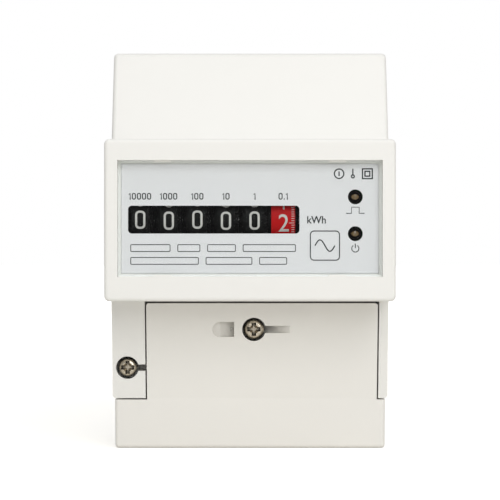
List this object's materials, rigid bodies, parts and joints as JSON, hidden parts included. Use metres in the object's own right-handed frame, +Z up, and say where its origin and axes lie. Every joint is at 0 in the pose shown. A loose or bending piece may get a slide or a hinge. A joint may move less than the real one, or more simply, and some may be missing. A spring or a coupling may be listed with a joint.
{
  "type": "electricity meter",
  "caption": "Single-phase energy meter for a rail, with number wheels behind a clear window, a sealed terminal cover and a sprung latch.",
  "frame": {"origin": "middle of the rail seat, on the plane where the rail's face bears", "axes": "+Z up, -Y out of the front, +X to the right as seen from the front"},
  "size_m": [0.076, 0.065, 0.1085],
  "materials": {
    "case_plastic": "moulded polycarbonate, fine satin",
    "cover_plastic": "moulded polycarbonate, fine satin",
    "clear_window": "clear polycarbonate with a polished edge",
    "plate": "printed sheet",
    "latch_plastic": "black moulded plastic",
    "spring_steel": "spring wire",
    "drum_black": "black drum",
    "drum_red": "red drum",
    "pinion_plastic": "natural acetal",
    "axle_steel": "ground steel",
    "motor_steel": "plated can",
    "frame_plastic": "black moulded plastic",
    "board": "green lacquered laminate",
    "fine_screw": "zinc plated",
    "lamp_red": "tinted lens",
    "capacitor_case": "yellow case",
    "can_sleeve": "dark sleeve",
    "varistor_coat": "blue lacquer",
    "chip_case": "black epoxy",
    "crystal_can": "plated can",
    "carrier_plastic": "glass-filled black plastic",
    "terminal_brass": "turned and plated",
    "terminal_steel": "zinc plated",
    "strap_copper": "copper strip",
    "seal_screw_steel": "nickel plated"
  },
  "bodies": {
    "case": {"base_case": "case_plastic", "front_case": "case_plastic", "terminal_cover": "cover_plastic", "window": "clear_window", "nameplate": "plate", "latch_spring": "spring_steel", "wheel_shaft": "axle_steel", "pinion_shaft": "axle_steel", "reduction_pin": "axle_steel", "stepper_motor": "motor_steel", "register_frame": "frame_plastic", "board_header": "frame_plastic", "display_board": "board", "power_board": "board", "power_board_screws": "fine_screw", "display_board_screws": "fine_screw", "pulse_screws": "fine_screw", "pulse_lamp": "lamp_red", "power_lamp": "lamp_red", "film_capacitor": "capacitor_case", "storage_capacitors": "can_sleeve", "varistor": "varistor_coat", "metering_chip": "chip_case", "optocoupler": "chip_case", "crystal": "crystal_can", "terminal_carrier": "carrier_plastic", "pulse_terminals": "carrier_plastic", "terminal_1": "terminal_brass", "terminal_2": "terminal_brass", "terminal_3": "terminal_brass", "terminal_4": "terminal_brass", "terminal_screws": "terminal_steel", "current_shunt": "strap_copper", "neutral_link": "strap_copper", "cover_screw": "seal_screw_steel", "case_screw": "seal_screw_steel"},
    "wheel_ten_thousands": {"wheel_ten_thousands": "drum_black"},
    "wheel_thousands": {"wheel_thousands": "drum_black"},
    "wheel_hundreds": {"wheel_hundreds": "drum_black"},
    "wheel_tens": {"wheel_tens": "drum_black"},
    "wheel_units": {"wheel_units": "drum_black"},
    "wheel_tenths": {"wheel_tenths": "drum_red"},
    "transfer_pinion_1": {"transfer_pinion_1": "pinion_plastic"},
    "transfer_pinion_2": {"transfer_pinion_2": "pinion_plastic"},
    "transfer_pinion_3": {"transfer_pinion_3": "pinion_plastic"},
    "transfer_pinion_4": {"transfer_pinion_4": "pinion_plastic"},
    "transfer_pinion_5": {"transfer_pinion_5": "pinion_plastic"},
    "reduction_gear": {"reduction_gear": "pinion_plastic"},
    "motor_pinion": {"motor_pinion": "pinion_plastic"},
    "din_latch": {"din_latch": "latch_plastic"}
  },
  "joints": [
    {"name": "wheel_ten_thousands_turn", "type": "hinge", "parent": "case", "child": "wheel_ten_thousands", "pos_m": [-0.0288, -0.0454, 0.0002], "axis": [1, 0, 0], "continuous": true},
    {"name": "wheel_thousands_turn", "type": "hinge", "parent": "case", "child": "wheel_thousands", "pos_m": [-0.0213, -0.0454, 0.0002], "axis": [1, 0, 0], "continuous": true},
    {"name": "wheel_hundreds_turn", "type": "hinge", "parent": "case", "child": "wheel_hundreds", "pos_m": [-0.0138, -0.0454, 0.0002], "axis": [1, 0, 0], "continuous": true},
    {"name": "wheel_tens_turn", "type": "hinge", "parent": "case", "child": "wheel_tens", "pos_m": [-0.0063, -0.0454, 0.0002], "axis": [1, 0, 0], "continuous": true},
    {"name": "wheel_units_turn", "type": "hinge", "parent": "case", "child": "wheel_units", "pos_m": [0.0012, -0.0454, 0.0002], "axis": [1, 0, 0], "continuous": true},
    {"name": "wheel_tenths_turn", "type": "hinge", "parent": "case", "child": "wheel_tenths", "pos_m": [0.0087, -0.0454, 0.0002], "axis": [1, 0, 0], "continuous": true},
    {"name": "transfer_pinion_1_turn", "type": "hinge", "parent": "case", "child": "transfer_pinion_1", "pos_m": [-0.02505, -0.0398, -0.0095], "axis": [1, 0, 0], "continuous": true},
    {"name": "transfer_pinion_2_turn", "type": "hinge", "parent": "case", "child": "transfer_pinion_2", "pos_m": [-0.01755, -0.0398, -0.0095], "axis": [1, 0, 0], "continuous": true},
    {"name": "transfer_pinion_3_turn", "type": "hinge", "parent": "case", "child": "transfer_pinion_3", "pos_m": [-0.01005, -0.0398, -0.0095], "axis": [1, 0, 0], "continuous": true},
    {"name": "transfer_pinion_4_turn", "type": "hinge", "parent": "case", "child": "transfer_pinion_4", "pos_m": [-0.00255, -0.0398, -0.0095], "axis": [1, 0, 0], "continuous": true},
    {"name": "transfer_pinion_5_turn", "type": "hinge", "parent": "case", "child": "transfer_pinion_5", "pos_m": [0.00495, -0.0398, -0.0095], "axis": [1, 0, 0], "continuous": true},
    {"name": "reduction_gear_turn", "type": "hinge", "parent": "case", "child": "reduction_gear", "pos_m": [0.0135, -0.04266, 0.00772], "axis": [1, 0, 0], "continuous": true},
    {"name": "motor_pinion_turn", "type": "hinge", "parent": "case", "child": "motor_pinion", "pos_m": [0.0135, -0.04775, 0.01337], "axis": [1, 0, 0], "continuous": true},
    {"name": "latch_slide", "type": "slide", "parent": "case", "child": "din_latch", "axis": [0, 0, -1], "range_m": [0, 0.004], "stiffness_N_per_m": 300, "springref_m": -0.004, "deforming": ["latch_spring"]}
  ],
  "couplings": [
    {"joint": "wheel_ten_thousands_turn", "follows": "wheel_tenths_turn", "ratio": 0.00001},
    {"joint": "wheel_thousands_turn", "follows": "wheel_tenths_turn", "ratio": 0.0001},
    {"joint": "wheel_hundreds_turn", "follows": "wheel_tenths_turn", "ratio": 0.001},
    {"joint": "wheel_tens_turn", "follows": "wheel_tenths_turn", "ratio": 0.01},
    {"joint": "wheel_units_turn", "follows": "wheel_tenths_turn", "ratio": 0.1},
    {"joint": "transfer_pinion_1_turn", "follows": "wheel_tenths_turn", "ratio": -0.000025},
    {"joint": "transfer_pinion_2_turn", "follows": "wheel_tenths_turn", "ratio": -0.00025},
    {"joint": "transfer_pinion_3_turn", "follows": "wheel_tenths_turn", "ratio": -0.0025},
    {"joint": "transfer_pinion_4_turn", "follows": "wheel_tenths_turn", "ratio": -0.025},
    {"joint": "transfer_pinion_5_turn", "follows": "wheel_tenths_turn", "ratio": -0.25},
    {"joint": "reduction_gear_turn", "follows": "wheel_tenths_turn", "ratio": -3},
    {"joint": "motor_pinion_turn", "follows": "wheel_tenths_turn", "ratio": 11.25}
  ]
}
